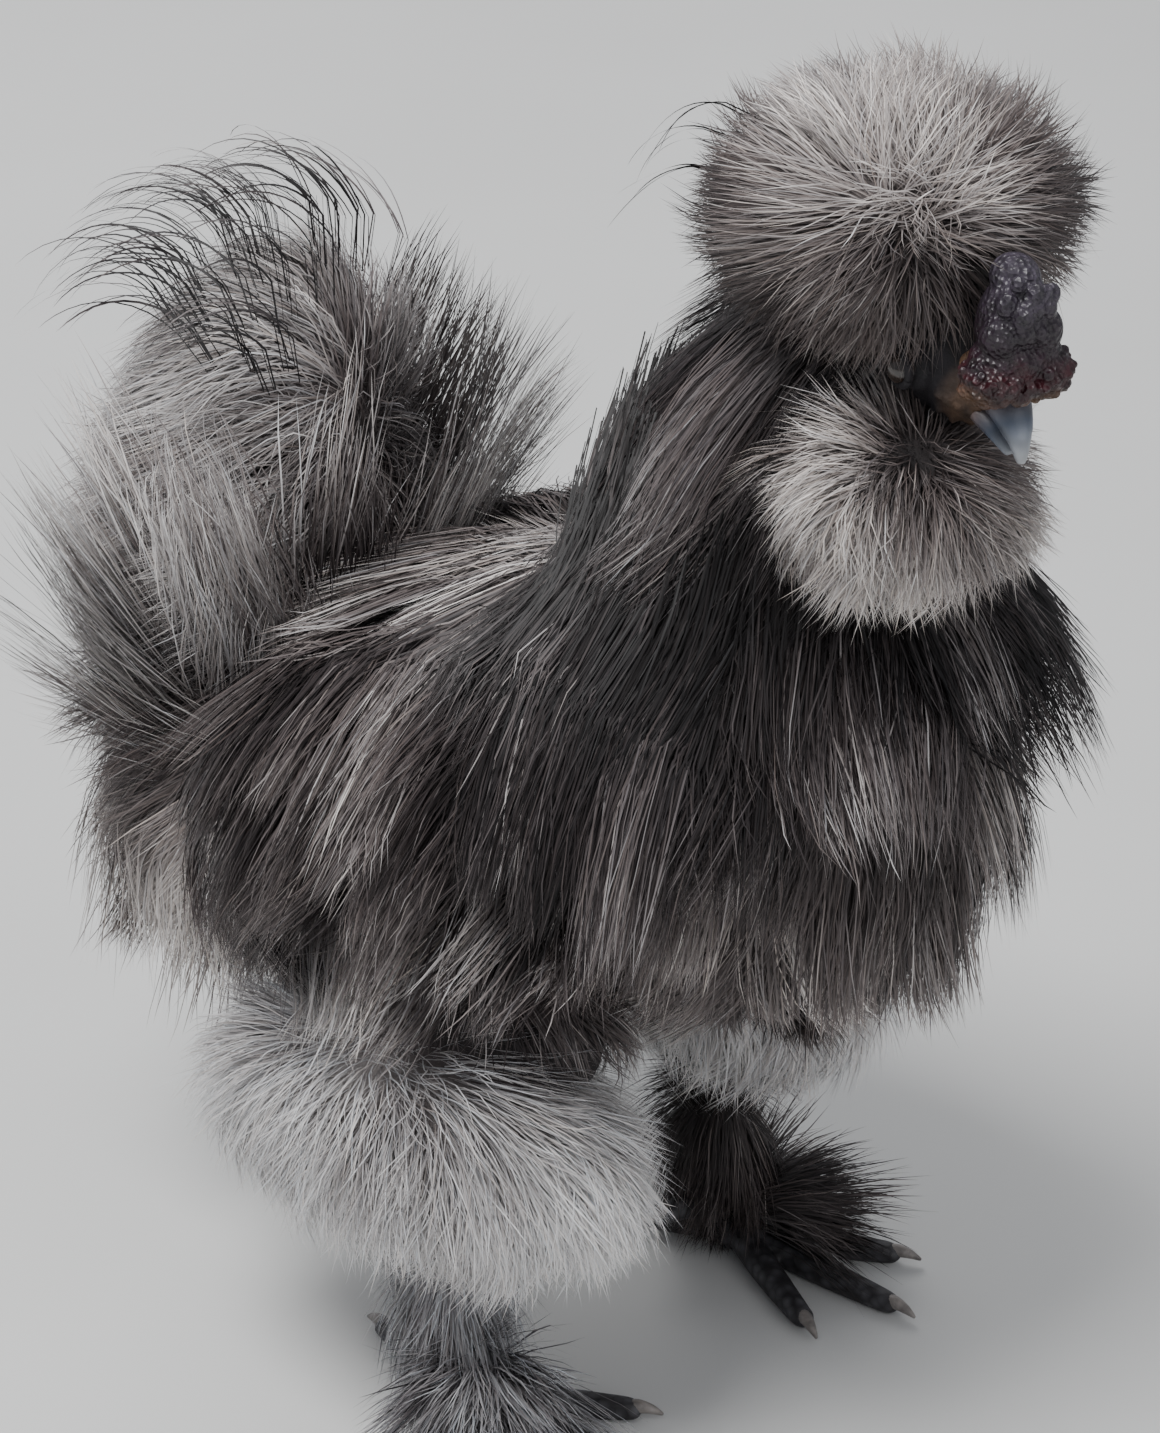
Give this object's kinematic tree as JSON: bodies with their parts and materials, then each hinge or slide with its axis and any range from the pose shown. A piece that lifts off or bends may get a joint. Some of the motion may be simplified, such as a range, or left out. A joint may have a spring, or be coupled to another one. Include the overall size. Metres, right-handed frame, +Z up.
{
  "type": "silkie chicken",
  "caption": "Life-size still model of a standing bearded silkie cockerel with a round crest, walnut comb, fluffy hair-like feathers and feathered legs.",
  "frame": {"origin": "on the floor, under the middle of the whole bird's box", "axes": "+X the way the bird's body faces, +Y its left, +Z up"},
  "size_m": [0.3022, 0.1876, 0.3737],
  "materials": {
    "eye": "wet, near black",
    "comb": "wrinkled mulberry skin",
    "beak": "slate blue horn, pale at the tip",
    "head": "dark skin",
    "crest": "soft silver and brown-grey feathers",
    "beard": "soft pale grey feathers",
    "neck": "near-black hackle with silver streaks",
    "wing": "charcoal feathers with silver wisps",
    "thigh": "soft silver-grey fluff",
    "torso": "charcoal-brown feathers with grey tips",
    "tail": "mid grey and brown-grey feathers",
    "shank": "blue-grey feathers on dark skin",
    "foot": "dark scaled skin",
    "claw": "grey horn"
  },
  "bodies": {
    "root": {"eye_right": "eye", "eye_left": "eye", "head": "head", "beak_upper": "beak", "beak_lower": "beak", "comb": "comb", "crest": "crest", "beard": "beard", "neck": "neck", "wing_right": "wing", "thigh_right": "thigh", "shank_right": "shank", "foot_right": "foot", "claw_right_1": "claw", "claw_right_2": "claw", "claw_right_3": "claw", "claw_right_4": "claw", "claw_right_5": "claw", "wing_left": "wing", "thigh_left": "thigh", "shank_left": "shank", "foot_left": "foot", "claw_left_1": "claw", "claw_left_2": "claw", "claw_left_3": "claw", "claw_left_4": "claw", "claw_left_5": "claw", "torso": "torso", "tail": "tail"}
  },
  "joints": []
}
